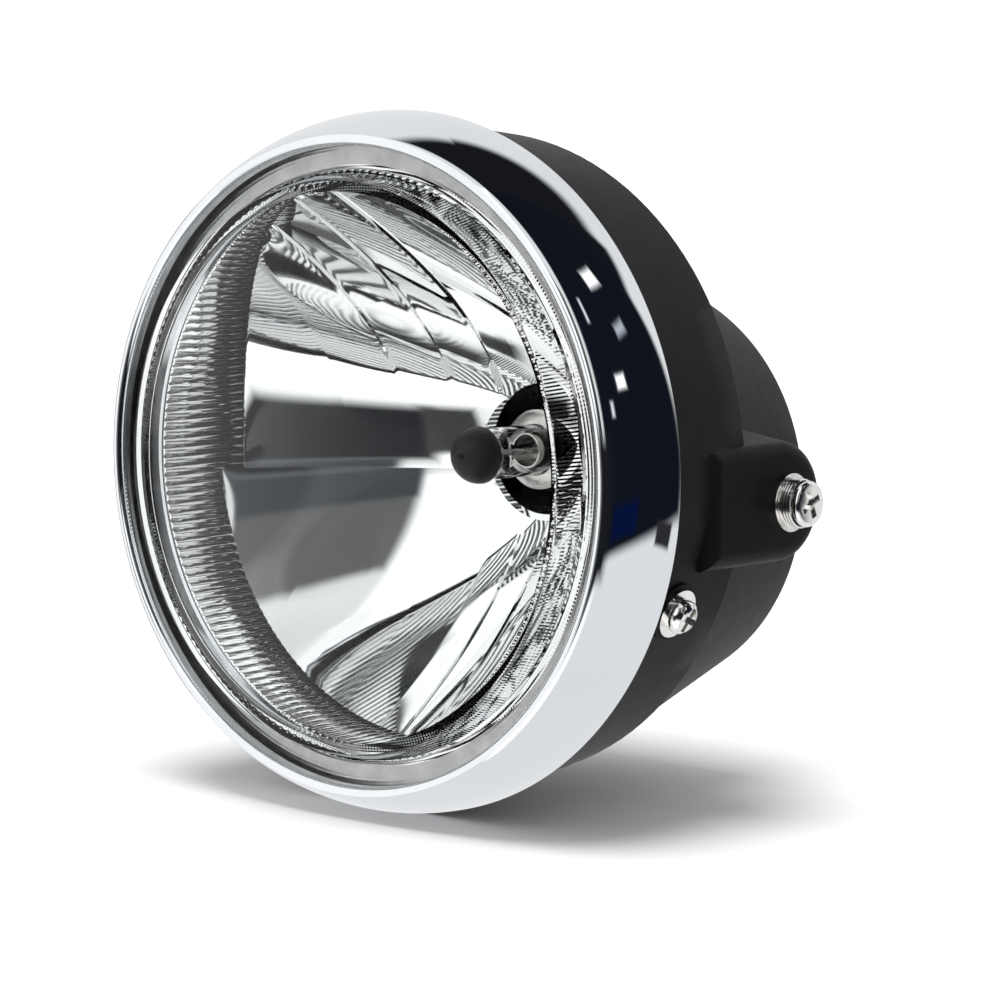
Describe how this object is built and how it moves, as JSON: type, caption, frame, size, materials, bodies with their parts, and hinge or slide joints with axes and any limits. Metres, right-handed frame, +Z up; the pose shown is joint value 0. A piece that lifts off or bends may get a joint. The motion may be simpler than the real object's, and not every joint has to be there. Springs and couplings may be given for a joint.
{
  "type": "motorcycle headlight",
  "caption": "Round motorcycle headlight with a chrome bezel, clear glass lens, fluted mirror, black-tipped bulb and a black bowl housing that tilts between two bracket ears.",
  "frame": {"origin": "middle of the tilt axis, between the two side collars that the bracket ears hold", "axes": "+Z up, +Y to the back of the lamp so that the lens faces -Y, +X along the tilt axis to the rider's left"},
  "size_m": [0.1878, 0.1412, 0.18],
  "materials": {
    "chrome": "bright chrome plate",
    "lens_glass": "clear glass with a stippled rim",
    "mirror": "vacuum-coated mirror",
    "seal_rubber": "matt",
    "spring_steel": "bare spring steel",
    "bulb_glass": "clear glass",
    "bulb_black": "matt black coating",
    "bulb_metal": "nickel plate",
    "tungsten": "drawn wire",
    "bulb_ceramic": "unglazed",
    "brass": "plain",
    "rubber": "matt black",
    "housing_plastic": "fine-textured black moulding",
    "zinc": "bright zinc plate"
  },
  "bodies": {
    "root": {"bezel": "chrome", "bezel_nut_left": "zinc", "bezel_nut_right": "zinc", "bezel_screw_left": "zinc", "bezel_screw_right": "zinc", "bezel_strap_left": "spring_steel", "bezel_strap_right": "spring_steel", "bezel_washer_left": "zinc", "bezel_washer_right": "zinc", "bulb_base": "bulb_metal", "bulb_boot": "rubber", "bulb_dip_filament": "tungsten", "bulb_glass": "bulb_glass", "bulb_insulator": "bulb_ceramic", "bulb_main_filament": "tungsten", "bulb_post_left": "bulb_metal", "bulb_post_right": "bulb_metal", "bulb_shield": "bulb_metal", "bulb_spring": "spring_steel", "bulb_terminal_left": "brass", "bulb_terminal_right": "brass", "bulb_terminal_top": "brass", "bulb_tip": "bulb_black", "lens": "lens_glass", "lens_seal": "seal_rubber", "rear_housing": "housing_plastic", "reflector": "mirror", "tilt_collar_left": "zinc", "tilt_collar_right": "zinc", "tilt_insert_left": "brass", "tilt_insert_right": "brass", "tilt_screw_left": "zinc", "tilt_screw_right": "zinc", "tilt_washer_left": "zinc", "tilt_washer_right": "zinc", "unit_clip_1": "spring_steel", "unit_clip_2": "spring_steel", "unit_clip_3": "spring_steel", "unit_clip_4": "spring_steel", "wiring_grommet": "rubber"}
  },
  "joints": []
}
